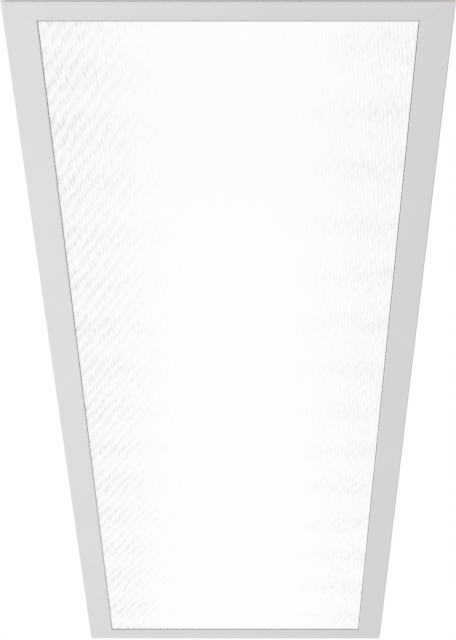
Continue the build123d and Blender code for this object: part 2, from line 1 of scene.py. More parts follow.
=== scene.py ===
# %% [markdown]
# # A recessed troffer light, dressed around its packed frame
# The frame holds every CAD piece at its real place, in metres: the door's lower face is z = 0, +Z
# points up into the ceiling, and the door hinges at -X. This lesson gives each of those pieces its
# finish, makes the pieces whose charm is in fine relief (the prismatic lens, the LEDs, the screws
# and rivets, the leads), and then lights and photographs the whole from below. Every length in it
# is in metres, unless its name or comment says otherwise.

# %% Load the frame
import json
import math

import bmesh
import bpy
import numpy as np
from mathutils import Euler, Matrix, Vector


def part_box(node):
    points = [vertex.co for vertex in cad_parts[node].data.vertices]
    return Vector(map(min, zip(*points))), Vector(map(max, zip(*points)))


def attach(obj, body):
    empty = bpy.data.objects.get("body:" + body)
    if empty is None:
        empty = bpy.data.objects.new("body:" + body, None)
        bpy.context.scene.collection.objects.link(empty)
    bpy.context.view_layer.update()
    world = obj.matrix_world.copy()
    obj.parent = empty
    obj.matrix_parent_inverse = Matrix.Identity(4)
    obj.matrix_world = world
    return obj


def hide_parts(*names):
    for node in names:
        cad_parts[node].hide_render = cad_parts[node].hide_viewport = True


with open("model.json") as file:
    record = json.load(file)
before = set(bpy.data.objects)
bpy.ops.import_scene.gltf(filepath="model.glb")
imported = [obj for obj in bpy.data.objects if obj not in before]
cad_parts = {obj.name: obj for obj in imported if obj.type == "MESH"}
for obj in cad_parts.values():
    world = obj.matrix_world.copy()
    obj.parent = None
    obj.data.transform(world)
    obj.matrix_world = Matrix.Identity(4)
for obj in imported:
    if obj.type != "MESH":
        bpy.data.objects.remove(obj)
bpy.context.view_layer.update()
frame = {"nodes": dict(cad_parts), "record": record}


# %% [markdown]
# ## Camera
# The photograph looks up at the light from just outside its near end, so the long sides run
# together towards the far end. Such a view can be worked out from the four corners of the door.
# The turn is a plain look straight up, tipped forward by 26 degrees, and the picture's centre sits
# a little left of the lens axis, which the camera's shift takes up.

# %% The camera that looks up from below the near end
PICTURE = (456, 640)  # pixels
SENSOR = 36.0  # millimetres
FOCAL_PIXELS = 696.9
EYE = (0.02694, -0.63123, -1.00520)
PITCH, YAW, ROLL = -26.2368, 0.0716, -0.0868  # degrees
LENS_CENTRE_RIGHT = 20.0  # pixels
FARTHEST_SEEN = 50.0


def look_up(yaw, pitch, roll):
    """World axes of a camera whose right is +X and whose top is -Y when it looks straight up."""
    straight_up = Matrix(((1, 0, 0), (0, -1, 0), (0, 0, -1))).to_4x4()
    turn = Matrix.Rotation(math.radians(yaw), 4, "Z")
    turn = turn @ Matrix.Rotation(math.radians(pitch), 4, "X")
    return turn @ Matrix.Rotation(math.radians(roll), 4, "Z") @ straight_up


camera = bpy.data.objects.new("camera", bpy.data.cameras.new("camera"))
bpy.context.collection.objects.link(camera)
camera.matrix_world = Matrix.Translation(EYE) @ look_up(YAW, PITCH, ROLL)
camera.data.sensor_width = SENSOR
camera.data.lens = FOCAL_PIXELS * SENSOR / max(PICTURE)
camera.data.shift_x = -LENS_CENTRE_RIGHT / max(PICTURE)
camera.data.clip_end = FARTHEST_SEEN
bpy.context.scene.camera = camera
print("camera lens", round(camera.data.lens, 2), "mm, shift", round(camera.data.shift_x, 4))

# %% [markdown]
# ## Shader maths as plain arithmetic
# A procedural finish is arithmetic on a point's position. Wiring Math nodes by hand hides that, so
# one small class wraps a node's output and lets +, -, *, / and ** add the Math nodes. A second one
# holds a material and adds any other node through a single method.


# %% A socket that does arithmetic
class Wire:
    """An output socket; each arithmetic sign on it adds one Math node."""

    def __init__(self, tree, socket):
        self.tree, self.socket = tree, socket

    def math(self, operation, *values):
        """A Math node with these values or links."""
        node = self.tree.nodes.new("ShaderNodeMath")
        node.operation = operation
        for slot, value in zip(node.inputs, values):
            plug(self.tree, slot, value)
        return Wire(self.tree, node.outputs[0])

    def __add__(self, other):
        return self.math("ADD", self, other)

    def __radd__(self, other):
        return self.math("ADD", other, self)

    def __sub__(self, other):
        return self.math("SUBTRACT", self, other)

    def __rsub__(self, other):
        return self.math("SUBTRACT", other, self)

    def __mul__(self, other):
        return self.math("MULTIPLY", self, other)

    def __rmul__(self, other):
        return self.math("MULTIPLY", other, self)

    def __truediv__(self, other):
        return self.math("DIVIDE", self, other)

    def __rtruediv__(self, other):
        return self.math("DIVIDE", other, self)

    def __pow__(self, other):
        return self.math("POWER", self, other)

    def __rpow__(self, other):
        return self.math("POWER", other, self)

    def wave(self):
        """The sine, lifted to run from 0 to 1."""
        return self.math("SINE", self) * 0.5 + 0.5

    def exp(self):
        """e to the power of the value."""
        return self.math("EXPONENT", self)

    def size(self):
        """The value without its sign."""
        return self.math("ABSOLUTE", self)

    def wrapped(self, period):
        """The value folded into one period about zero."""
        return self.math("WRAP", self, period / 2, -period / 2)

    def at_most(self, other):
        """The lesser of the two."""
        return self.math("MINIMUM", self, other)

    def at_least(self, other):
        """The greater of the two."""
        return self.math("MAXIMUM", self, other)

    def step(self, start, end):
        """0 below start, 1 past end, a straight ramp between."""
        return ((self - start) * (1 / (end - start))).at_least(0).at_most(1)


def plug(tree, slot, value):
    """Links a Wire to a socket, or sets the socket's own value."""
    if isinstance(value, Wire):
        tree.links.new(value.socket, slot)
    elif isinstance(value, (tuple, list)) and len(value) == 3 and slot.type == "RGBA":
        slot.default_value = (*value, 1.0)
    else:
        slot.default_value = value


print("shader maths:", *(name for name in vars(Wire) if not name.startswith("_")))


# %% A material and its nodes
class Finish:
    """A material, or the world, being wired."""

    def __init__(self, owner):
        owner.use_nodes = True
        self.owner, self.tree = owner, owner.node_tree
        self.tree.nodes.clear()

    def node(self, kind, inputs=(), out=0, **settings):
        """Adds a node: its settings first, then the values or links of its sockets."""
        node = self.tree.nodes.new("ShaderNode" + kind)
        for name, value in settings.items():
            setattr(node, name, value)
        for key, value in dict(inputs).items():
            plug(self.tree, node.inputs[key], value)
        return Wire(self.tree, node.outputs[out]) if len(node.outputs) else node

    def point(self):
        """The point on the object."""
        return self.node("TexCoord", out="Object")

    def x_and_y(self, point):
        """How far across the light a point lies, and how far along it."""
        x = self.node("SeparateXYZ", {"Vector": point}, out="X")
        return x, Wire(self.tree, x.socket.node.outputs["Y"])

    def noise(self, point, grain, detail, stretch=(1.0, 1.0, 1.0)):
        """Soft noise about 0.5 whose lumps are a grain across; detail adds finer lumps."""
        scale = [s / grain for s in stretch]
        moved = self.node("Mapping", {"Vector": point, "Scale": scale})
        return self.node("TexNoise", {"Vector": moved, "Scale": 1.0, "Detail": detail})

    def mix(self, factor, first, second):
        """A colour between two colours."""
        sockets = {0: factor, 6: first, 7: second}
        return self.node("Mix", sockets, out=2, data_type="RGBA")

    def bump(self, height, distance, strength):
        """A normal tilted as if the surface stood out by height times distance."""
        return self.node("Bump", {"Height": height, "Distance": distance, "Strength": strength})

    def surface(self, **inputs):
        """The Principled shader; underscores stand for the spaces in its socket names."""
        named = {key.replace("_", " "): value for key, value in inputs.items()}
        shader = self.node("BsdfPrincipled", named)
        self.node("OutputMaterial", {"Surface": shader})
        return self.owner


def finish(name):
    """A new material, ready to be wired."""
    return Finish(bpy.data.materials.new(name))


print("node methods:", *(name for name in vars(Finish) if not name.startswith("_")))

# %% [markdown]
# ## White baked enamel
# The door, housing, covers and plates are steel sheet under a satin white powder coat. Close up it
# has a faint orange peel, and its gloss wanders a little. The peel is a bump from two sizes of
# noise; the colour only drifts by one or two parts in a hundred, or the sheet would look dirty.

# %% The enamel
ENAMEL = (0.785, 0.761, 0.781)
ENAMEL_SHADE = (0.772, 0.748, 0.768)
DRIFT_GRAIN = 0.16
PEEL, COARSE_PEEL = 0.0016, 0.0056
PEEL_RELIEF = 0.00004


def white_enamel():
    """Satin paint: a slow drift of its colour, and a peel that scatters its shine."""
    paint = finish("white_enamel")
    point = paint.point()
    drift = paint.noise(point, DRIFT_GRAIN, 3.0)
    peel = paint.noise(point, PEEL, 1.0)
    coarse = paint.noise(point, COARSE_PEEL, 1.0)
    return paint.surface(
        Base_Color=paint.mix(drift.step(0.35, 0.65), ENAMEL, ENAMEL_SHADE),
        Roughness=0.34 + 0.10 * drift + 0.05 * peel,
        Normal=paint.bump(peel * 0.6 + coarse, PEEL_RELIEF, 0.6),
        IOR=1.5,
    )


enamel = white_enamel()
print("enamel:", enamel.name, "with", len(enamel.node_tree.nodes), "nodes")

# %% [markdown]
# ## Bare metals
# Brackets, hinges, latches and grid clips are stamped from zinc-plated strip: bright, a little
# bluish, with fine drawing lines along the strip and a faint yellow passivation that comes and
# goes. The lens clips are plain spring steel, which is darker. The driver's can is mill aluminium.
# One recipe serves all three, with its own colours, lines and roughness.

# %% The metals
LINE_STRETCH = (1.0, 0.04, 1.0)  # the drawing lines run along Y
CLOUD_GRAIN = 0.012
LINE_RELIEF = 0.00003
METALS = {  # light colour, dark colour, width of a line, least roughness
    "zinc_plate": ((0.70, 0.71, 0.73), (0.55, 0.55, 0.52), 0.0008, 0.24),
    "spring_steel": ((0.52, 0.53, 0.56), (0.36, 0.36, 0.38), 0.0005, 0.22),
    "driver_sheet": ((0.80, 0.81, 0.82), (0.68, 0.69, 0.70), 0.0010, 0.32),
}


def bright_metal(name, light, dark, line, rough):
    """Stretched noise draws the rolling lines; a second, round noise clouds the plating."""
    metal = finish(name)
    point = metal.point()
    lines = metal.noise(point, line, 2.0, LINE_STRETCH)
    cloud = metal.noise(point, CLOUD_GRAIN, 3.0)
    return metal.surface(
        Base_Color=metal.mix(0.55 * cloud + 0.45 * lines, dark, light),
        Metallic=1.0,
        Roughness=rough + 0.16 * lines + 0.10 * cloud,
        Normal=metal.bump(lines, LINE_RELIEF, 0.5),
    )


metals = {name: bright_metal(name, *recipe) for name, recipe in METALS.items()}
print("metals:", *metals)

# %% [markdown]
# ## Plastics and boards
# The connectors are moulded nylon, satin and a little uneven in colour. The leads have drawn PVC
# insulation with a shallow waviness along their length. The boards carry a white solder mask over
# copper tracks, which show as a faint relief and a slightly different white.

# %% Moulded and drawn plastics
PLASTIC_DRIFT = 0.02
PLASTICS = {  # colour, its shade, grain, least roughness, relief of the grain
    "connector_nylon": ((0.80, 0.79, 0.75), (0.74, 0.73, 0.68), 0.0006, 0.38, 0.00003),
    "red_insulation": ((0.52, 0.035, 0.03), (0.42, 0.025, 0.025), 0.0016, 0.30, 0.00005),
    "black_insulation": ((0.035, 0.035, 0.037), (0.022, 0.022, 0.024), 0.0016, 0.32, 0.00005),
    "green_insulation": ((0.03, 0.27, 0.09), (0.02, 0.20, 0.07), 0.0016, 0.32, 0.00005),
}


def plastic(name, colour, shade, grain, rough, relief):
    """A moulded or drawn surface: a fine grain, and a slow drift of colour."""
    stuff = finish(name)
    point = stuff.point()
    drift = stuff.noise(point, PLASTIC_DRIFT, 2.0)
    fine = stuff.noise(point, grain, 1.0)
    return stuff.surface(
        Base_Color=stuff.mix(drift, colour, shade),
        Roughness=rough + 0.12 * fine,
        Normal=stuff.bump(fine, relief, 0.5),
    )


plastics = {name: plastic(name, *recipe) for name, recipe in PLASTICS.items()}
print("plastics:", *plastics)

# %% The LED boards' solder mask
BOARD_PITCH = 0.095
TRACK_FROM_MIDDLE = 0.0055
TRACK_EDGE = (0.0022, 0.0028)  # a track is whole this near its middle, and gone this far off
CUT_PITCH = 0.0533
CUT_EDGE = (0.0006, 0.0010)
MASK, MASK_ON_COPPER = (0.83, 0.825, 0.82), (0.79, 0.78, 0.765)
MASK_GRAIN = 0.0012
MASK_RELIEF = 0.00005


def solder_mask():
    """Tracks run along each board on both sides of its LEDs, with a cut every CUT_PITCH. The
    boards lie BOARD_PITCH apart, so X is folded onto the middle of the nearest one."""
    mask = finish("solder_mask")
    point = mask.point()
    x, y = mask.x_and_y(point)
    off_between = (x.size() + BOARD_PITCH / 2).wrapped(BOARD_PITCH).size()
    off_middle = (BOARD_PITCH / 2 - off_between).size()
    track = 1 - (off_middle - TRACK_FROM_MIDDLE).size().step(*TRACK_EDGE)
    cut = 1 - y.wrapped(CUT_PITCH).size().step(*CUT_EDGE)
    copper = track * (1 - cut)
    fine = mask.noise(point, MASK_GRAIN, 2.0)
    return mask.surface(
        Base_Color=mask.mix(copper, MASK, MASK_ON_COPPER),
        Roughness=0.36 + 0.12 * fine,
        Normal=mask.bump(copper + 0.15 * fine, MASK_RELIEF, 0.8),
    )


board_mask = solder_mask()
print("boards:", board_mask.name, "with", len(board_mask.node_tree.nodes), "nodes")

# %% Give each CAD node whose slot is listed its finish
SLOT_FINISH = {
    "white_steel": enamel,
    "zinc_steel": metals["zinc_plate"],
    "spring_steel": metals["spring_steel"],
    "driver_metal": metals["driver_sheet"],
    "board_white": board_mask,
    "connector_white": plastics["connector_nylon"],
    "board_lead": plastics["red_insulation"],
    "supply_lead": plastics["black_insulation"],
    "ground_green": plastics["green_insulation"],
}


def dress(node, material):
    """Puts one material on a CAD node's mesh."""
    mesh = frame["nodes"][node].data
    mesh.materials.clear()
    mesh.materials.append(material)


node_slot = {part["node"]: part["material_slot"] for part in frame["record"]["subparts"]}
dressed = [node for node, slot in node_slot.items() if slot in SLOT_FINISH]
for node in dressed:
    dress(node, SLOT_FINISH[node_slot[node]])
print("nodes dressed:", len(dressed), "of", len(node_slot))

# %% [markdown]
# ## Surfaces from arrays
# Every new piece is a surface over a grid of two parameters: numpy works out all its points at
# once, neighbouring rows and columns give the quads, and several such sheets can be joined in one
# mesh. Points that coincide are merged at the end, which closes seams and the poles of turned
# shapes, and the normals are then turned outwards.


# %% Grids and repeats
def sheet_of(points, around=False):
    """Quads between the rows and columns of points (rows, columns, 3); around joins the last
    column to the first."""
    rows, columns = points.shape[:2]
    index = np.arange(rows * columns).reshape(rows, columns)
    if around:
        index = np.hstack([index, index[:, :1]])
    quads = np.stack([index[:-1, :-1], index[:-1, 1:], index[1:, 1:], index[1:, :-1]], axis=-1)
    return points.reshape(-1, 3), quads.reshape(-1, 4)


def copies(shape, centres):
    """The same shape at every centre, as one pair of arrays."""
    points, faces = shape
    centres = np.asarray(centres, float)
    moved = (points[None] + centres[:, None]).reshape(-1, 3)
    offset = np.arange(len(centres))[:, None, None] * len(points)
    return moved, (faces[None] + offset).reshape(-1, faces.shape[1])


def together(*shapes):
    """Several shapes with faces of the same count as one."""
    starts = np.cumsum([0] + [len(points) for points, _ in shapes[:-1]])
    faces = np.vstack([faces + start for (_, faces), start in zip(shapes, starts)])
    return np.vstack([points for points, _ in shapes]), faces


print("a grid of 3 by 4 points has", len(sheet_of(np.zeros((3, 4, 3)))[1]), "quads")

# %% A piece that rides on a body
MERGE = 1e-7  # points nearer than this are one point


def close_up(mesh):
    """Merges points that coincide and turns the faces outwards."""
    work = bmesh.new()
    work.from_mesh(mesh)
    bmesh.ops.remove_doubles(work, verts=work.verts, dist=MERGE)
    bmesh.ops.dissolve_degenerate(work, edges=work.edges, dist=MERGE)
    bmesh.ops.recalc_face_normals(work, faces=work.faces)
    work.to_mesh(mesh)
    work.free()


def add_object(name, data, body, stands_for):
    """An object that rides on a body and takes the place of CAD nodes."""
    made = bpy.data.objects.new(name, data)
    bpy.context.collection.objects.link(made)
    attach(made, body)
    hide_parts(*stands_for)
    return made


def piece(name, body, shape, material, slot, stands_for, smooth_angle=None):
    """A closed mesh from (points, faces); edges flatter than smooth_angle are shaded round."""
    mesh = bpy.data.meshes.new(name)
    mesh.from_pydata(shape[0].tolist(), [], shape[1].tolist())
    close_up(mesh)
    if smooth_angle is not None:
        mesh.shade_smooth()
        mesh.set_sharp_from_angle(angle=math.radians(smooth_angle))
    mesh.materials.append(material)
    print(name, len(mesh.polygons), "faces on", body)
    return add_object(name, mesh, body, stands_for)


# %% Where a node's separate solids stand
def mesh_points(mesh):
    """The mesh's points as rows of x, y and z."""
    points = np.empty(len(mesh.vertices) * 3)
    mesh.vertices.foreach_get("co", points)
    return points.reshape(-1, 3)


def solids_of(node):
    """Box of each loose solid in a node, as an array (solids, 2, 3). Points that share a place
    are one point; each then takes the least label of its triangle until nothing changes."""
    mesh = frame["nodes"][node].data
    points = mesh_points(mesh)
    corners = np.empty(len(mesh.loops), np.int32)
    mesh.loops.foreach_get("vertex_index", corners)
    triangles = corners.reshape(-1, 3)
    _, same = np.unique(np.round(points * 1e6), axis=0, return_inverse=True)
    triangles = same.ravel()[triangles]
    label = np.arange(same.max() + 1)
    while True:
        least = label[triangles].min(axis=1)
        new = label.copy()
        np.minimum.at(new, triangles.ravel(), np.repeat(least, 3))
        if (new == label).all():
            break
        label = new
    of_point = label[same.ravel()]
    groups = [points[of_point == name] for name in np.unique(of_point)]
    return np.array([[group.min(axis=0), group.max(axis=0)] for group in groups])


print("board screws in the frame:", len(solids_of("board_screws")))

# %% [markdown]
# ## The prismatic lens
# The panel is clear acrylic whose lower side is embossed all over with small pyramids, in rows that
# run at 45 degrees. Across the light each row of tips is one half diagonal from the next, so the
# relief is a grid in X and Y on which low tips and high valleys take turns, like the squares of a
# chess board. Each grid square holds two slopes, split along the line that joins its two valleys.
# A texture could only pretend to this; real slopes catch the light as the panel turns.

# %% The lens relief
PRISM_PITCH = 0.00476
PRISM_DEPTH = 0.0011


def prism_slopes(x, y, low_z):
    """Points, slopes and point numbers of the relief over the grid lines x and y. Tips lie at
    low_z, and valleys PRISM_DEPTH above it where row and column add up to an even number."""
    i, j = np.meshgrid(np.arange(len(x)), np.arange(len(y)))
    valley = (i + j) % 2 == 0
    relief = np.stack([x[i], y[j], low_z + PRISM_DEPTH * valley], axis=-1).reshape(-1, 3)
    index = np.arange(len(relief)).reshape(valley.shape)
    a, b, c, d = index[:-1, :-1], index[:-1, 1:], index[1:, 1:], index[1:, :-1]
    split = valley[:-1, :-1][..., None]
    one = np.where(split, np.stack([a, b, c], -1), np.stack([a, b, d], -1))
    two = np.where(split, np.stack([a, c, d], -1), np.stack([b, c, d], -1))
    return relief, np.concatenate([one.reshape(-1, 3), two.reshape(-1, 3)]), index


def prism_panel(low, high):
    """The relief over the box's lower face, closed by walls and a fan of triangles on top."""
    half_diagonal = PRISM_PITCH / math.sqrt(2)
    spans = [int(round((high[a] - low[a]) / half_diagonal / 2)) * 2 for a in (0, 1)]
    x, y = (np.linspace(low[a], high[a], spans[a] + 1) for a in (0, 1))
    relief, slopes, index = prism_slopes(x, y, low[2])
    rim = np.concatenate([index[0, :-1], index[:-1, -1], index[-1, :0:-1], index[:0:-1, 0]])
    roof = relief[rim] * (1, 1, 0) + (0, 0, high[2])
    centre = [[(low[0] + high[0]) / 2, (low[1] + high[1]) / 2, high[2]]]
    above = np.arange(len(rim)) + len(relief)
    after, after_above = np.roll(rim, -1), np.roll(above, -1)
    middle = np.full_like(above, len(relief) + len(rim))
    walls = [np.stack([rim, above, after_above], -1), np.stack([rim, after_above, after], -1)]
    top = np.stack([above, middle, after_above], -1)
    return np.vstack([relief, roof, centre]), np.vstack([slopes, *walls, top])


lens_low, lens_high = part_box("lens")
lens_shape = prism_panel(lens_low, lens_high)
print(f"lens relief {PRISM_DEPTH * 1000:.1f} mm deep, pitch {PRISM_PITCH * 1000:.2f} mm")

# %% [markdown]
# ## How the lit lens looks
# Behind the lens the white housing is filled with light, so the panel glows almost evenly. Towards
# the door's long sides fewer LEDs feed it, and there the relief breaks the glow into short dashes.
# They are where two waves meet: an upright one, about a prism across, and a slanting one, between
# two and three times as long, that gathers the dashes in bands. Soft noise shifts the phase of
# both, or they would look like a printed screen, and stretched noise adds fine upright streaks. A
# slow wave along the light stands for its rows of LEDs: broad on the left, and on the right raised
# to the third power, which leaves narrow dark rows.
# The shade is a bell curve over the distance from the long side, deepest at the side and gone by
# the middle, and the far end is a touch darker than the near one. Along the opening's edge the
# shelf takes the light away and leaves a thin line, whose width differs from side to side.

# %% Waves across the lens
DASH_WAVE = (0.00530, -9.0)  # wavelength, and the angle from X in degrees that it travels at
BAND_WAVE = (0.0139, 39.0)
LEFT_ROWS = (0.0789, -0.4963)  # wavelength, and a dark row's Y before the noise moves it
RIGHT_ROWS = (0.0838, -0.5200)
LEFT_SWAY, RIGHT_SWAY = 0.03, 0.05  # how far the noise moves the rows


def travelling(x, y, wavelength, degrees):
    """Phase of a plane wave: the distance along its heading, in turns of 2 pi."""
    turn, heading = 2 * math.pi / wavelength, math.radians(degrees)
    return x * (turn * math.cos(heading)) + y * (turn * math.sin(heading))


def rows(y, wavelength, dark_at):
    """A wave along Y from 0 to 1 that is 1, its darkest, at dark_at."""
    return (y * (2 * math.pi / wavelength) + math.pi * (0.5 - 2 * dark_at / wavelength)).wave()


def led_rows(y, left, wander):
    """How much the slow rows deepen the shade, on the left and on the right."""
    left_row = 0.65 + 0.40 * rows(y + LEFT_SWAY * wander, *LEFT_ROWS)
    right_row = 0.66 + 0.58 * rows(y + RIGHT_SWAY * wander, *RIGHT_ROWS) ** 3.0
    return left_row * left + right_row * (1 - left)


print(f"dashes {DASH_WAVE[0] * 1000:.1f} mm apart, bands {BAND_WAVE[0] * 1000:.1f} mm apart")

# %% Dashes across the lens
JITTER_GRAIN, JITTER_STRETCH = 0.006, (1.0, 0.35, 1.0)
DASH_SHIFT, BAND_SHIFT = (7.0, 9.0), (5.0, 3.0)  # radians of phase from wander and from jitter
DASH_SHARPNESS = 1.6
PATCH_GRAIN = 0.012
STREAK_WIDTH, STREAK_LENGTH = 0.0026, 0.0150
STREAK_EDGE = (0.40, 0.66)  # noise below the first is clear, above the second a full streak
DASH_WEIGHT, STREAK_WEIGHT, BAND_WEIGHT = 2.1, 1.6, 0.25


def dashes(glass, point, x, y, left, wander):
    """How strongly the relief darkens a point. The slanting bands are stronger on the left, and
    patches of noise make some dashes deeper than others."""
    jitter = glass.noise(point, JITTER_GRAIN, 2.0, JITTER_STRETCH)
    patches = glass.noise(point, PATCH_GRAIN, 2.0)
    upright = (1.0, STREAK_WIDTH / STREAK_LENGTH, 1.0)
    streaks = glass.noise(point, STREAK_WIDTH, 1.0, upright).step(*STREAK_EDGE)
    dash_phase = travelling(x, y, *DASH_WAVE) + wander * DASH_SHIFT[0] + jitter * DASH_SHIFT[1]
    band_phase = travelling(x, y, *BAND_WAVE) + wander * BAND_SHIFT[0] + jitter * BAND_SHIFT[1]
    marks = DASH_WEIGHT * dash_phase.wave() ** DASH_SHARPNESS + STREAK_WEIGHT * streaks
    band = band_phase.wave()
    banded = 0.60 + 0.40 * band + left * (0.55 * band - 0.30)
    return BAND_WEIGHT * band * left + marks * banded * (0.5 + 0.9 * patches)


print(f"streaks {STREAK_WIDTH * 1000:.1f} mm wide and {STREAK_LENGTH * 1000:.0f} mm long")

# %% Shade and edge of the lens
OPENING = (0.2545, 0.5785)  # half the opening across the light and along it
LEFT_SHADE, RIGHT_SHADE = 0.070, 0.056
SHADE_REACH = 0.105
# widths of the painted shadow line that the shelf leaves along each side of the opening
LINE = {"left": 0.0005, "right": 0.0008, "near": 0.0012, "far": 0.0001}
LINE_EDGE = (0.3, 1.0)  # where the line's dark ends and the glow is whole, in line widths


def side_shade(x, left):
    """A bell curve: e to the minus square of the distance from the long side over its reach."""
    inset = (OPENING[0] - x.size()) / SHADE_REACH
    return (RIGHT_SHADE + (LEFT_SHADE - RIGHT_SHADE) * left) * (-1 * inset * inset).exp()


def outside_shelf_shadow(x, y):
    """0 on the painted shadow line that the shelf leaves along the opening's edge, and 1 inside it.
    """
    across = ((x + OPENING[0]) / LINE["left"]).at_most((OPENING[0] - x) / LINE["right"])
    along = ((y + OPENING[1]) / LINE["near"]).at_most((OPENING[1] - y) / LINE["far"])
    return across.at_most(along).step(*LINE_EDGE)


print("dark line", *(f"{side} {width * 1000:.1f}" for side, width in LINE.items()), "mm")

# %% The glowing acrylic
GLOW, ACRYLIC = (0.850, 0.826, 0.850), (0.12, 0.12, 0.12)
# the first colour is a near-black base, painted in the shelf's shadow line along the opening's edge
SHELF_SHADOW_BASE, UNLIT = (0.02, 0.02, 0.02), (0.0, 0.0, 0.0)
LEFT_TO_RIGHT = (0.03, -0.03)  # the X between which the left's look gives way to the right's
WANDER_GRAIN, GLOSS_GRAIN = 0.030, 0.02
FAR_SHADE, FAR_RAMP = 0.018, (-0.2, 0.6)  # the Y over which the far end's shade sets in


def lit_acrylic():
    """Clear acrylic whose glow is dimmed by the dashes, the shade and the painted shadow line at
    its edge.
    """
    glass = finish("lit_acrylic")
    point = glass.point()
    x, y = glass.x_and_y(point)
    left = x.step(*LEFT_TO_RIGHT)
    wander = glass.noise(point, WANDER_GRAIN, 2.0)
    relief = dashes(glass, point, x, y, left, wander)
    shade = side_shade(x, left) * relief * led_rows(y, left, wander)
    dark = shade + FAR_SHADE * y.step(*FAR_RAMP)
    edge = outside_shelf_shadow(x, y)
    return glass.surface(
        # the base colour is painted near-black on the shelf's shadow line
        Base_Color=glass.mix(edge, SHELF_SHADOW_BASE, ACRYLIC),
        Roughness=0.16 + 0.05 * glass.noise(point, GLOSS_GRAIN, 2.0),
        IOR=1.49,
        Emission_Color=glass.mix((1 - dark) * edge, UNLIT, GLOW),
        Emission_Strength=1.0,
    )


piece("prismatic_lens", "door", lens_shape, lit_acrylic(), "acrylic", ["lens"])

# %% [markdown]
# ## LEDs
# Each LED is a square white package with a round pocket of yellow phosphor. Its outline turns from
# a square into a circle between two rings, so one profile of eight-sided rings makes the whole
# thing, and the pocket's colour follows an attribute that is 1 in the pocket and 0 outside it.

# %% The LED package
LED_SIDES = 8
RIM, FLOOR_RING = 0.78, 0.70  # rings of the pocket, as shares of half the width
POCKET_FLOOR = 0.82  # depth of the pocket's floor below the board, as a share of the height
PINHOLE = 1e-6  # half width of the first and last ring


def led_package(width, height):
    """Rings of (half width, how round, height over the board's face, negative below it): a square
    corner lies further out than the middle of a side by the square root of two, a round one
    doesn't. The first and last ring are wider than MERGE, so they stay open as pinholes."""
    angle = np.arange(LED_SIDES) * 2 * math.pi / LED_SIDES + math.pi / 4
    square = 1 / np.maximum(np.abs(np.cos(angle)), np.abs(np.sin(angle)))
    half, floor_z = width / 2, -height * POCKET_FLOOR
    rings = [(PINHOLE, 1, 0.0), (half, 0, 0.0), (half, 0, -height * 0.8), (half * 0.94, 0, -height),
             (half * RIM, 1, -height), (half * FLOOR_RING, 1, floor_z), (PINHOLE, 1, floor_z)]
    points = []
    for radius, roundness, z in rings:
        out = radius * (roundness + (1 - roundness) * square)
        points.append(np.stack([out * np.cos(angle), out * np.sin(angle),
                                np.full(LED_SIDES, z)], axis=-1))
    return sheet_of(np.array(points), around=True)


print("an LED package has", len(led_package(1.0, 1.0)[1]), "faces")

# %% The LED's finish
LED_WHITE, PHOSPHOR, PHOSPHOR_GLOW = (0.86, 0.86, 0.84), (0.93, 0.72, 0.28), (1.0, 0.94, 0.76)
LED_GRAIN = 0.0004


def led_finish():
    """White moulding outside the pocket, glowing yellow phosphor in it."""
    led = finish("led_phosphor")
    pocket = led.node("Attribute", out="Fac", attribute_name="pocket")
    grain = led.noise(led.point(), LED_GRAIN, 1.0)
    return led.surface(
        Base_Color=led.mix(pocket, LED_WHITE, PHOSPHOR),
        Roughness=0.30 + 0.25 * grain * (1 - pocket),
        Emission_Color=led.mix(pocket, UNLIT, PHOSPHOR_GLOW),
        Emission_Strength=0.95,
    )


phosphor = led_finish()
print("LED finish:", phosphor.name, "with", len(phosphor.node_tree.nodes), "nodes")

# %% Put the LEDs where their solids are
BOARDS = 4
POCKET_REACH = 0.36  # points this near an LED's middle, as a share of its width, are its pocket


def mark_pockets(mesh, centres, size):
    """Adds the attribute: 1 where a point is near an LED's middle and in its lower half."""
    points = mesh_points(mesh)
    off = np.abs(points[:, None, :2] - centres[None, :, :2]).max(axis=2).min(axis=1)
    inside = (off < size[0] * POCKET_REACH) & (points[:, 2] < centres[0, 2] - size[2] * 0.5)
    attribute = mesh.attributes.new("pocket", "FLOAT", "POINT")
    attribute.data.foreach_set("value", inside.astype(float))


for number in range(1, BOARDS + 1):
    boxes = solids_of(f"led_row_{number}")
    centres = (boxes[:, 0] + boxes[:, 1]) / 2
    centres[:, 2] = boxes[:, 1, 2]
    size = boxes[0, 1] - boxes[0, 0]
    row_shape = copies(led_package(size[0], size[2]), centres)
    row = piece(f"leds_{number}", "housing", row_shape, phosphor, "phosphor", [f"led_row_{number}"])
    mark_pockets(row.data, centres, size)

# %% [markdown]
# ## Screws and rivets
# A pan head screw and a rivet are both turned shapes: a profile of radius and height, spun round
# the axis. The screw's cross recess is a dip in the head wherever the point is near one of two
# crossing lines. Real heads are domed and their edges rounded, which is what makes them glint.

# %% Turned shapes
AROUND = 32


def turned(profile, dip=None):
    """The profile's (radius, height) rows spun round Z; dip(x, y) lowers the top of the head."""
    angle = np.arange(AROUND) * 2 * math.pi / AROUND
    radius, height = np.array(profile, float).T
    x, y = radius[:, None] * np.cos(angle), radius[:, None] * np.sin(angle)
    z = np.repeat(height[:, None], AROUND, axis=1)
    if dip is not None:
        z = np.where(z > 0, z - dip(x, y) * np.clip(z / height.max(), 0, 1), z)
    return sheet_of(np.stack([x, y, z], axis=-1), around=True)


def pointed(shape, axis, sign=1):
    """A shape turned so that its +Z runs along axis (0, 1 or 2), or against it."""
    points, faces = shape
    order = {0: (2, 0, 1), 1: (1, 2, 0), 2: (0, 1, 2)}[axis]
    points = points * (1, sign, sign)
    return points[:, order], faces


print("a turned shape has", AROUND, "points around")

# %% The screw and the rivet
ARM_WIDTH, ARM_REACH, ARM_END = 0.13, 0.62, 0.12  # the recess, as shares of the head's radius
RECESS = 0.55  # its depth, as a share of the head's rise
SCREW = dict(head=0.0032, rise=0.0016, shank=0.0016, length=0.0030)
RIVET = dict(head=0.0030, rise=0.0009, shank=0.0016)


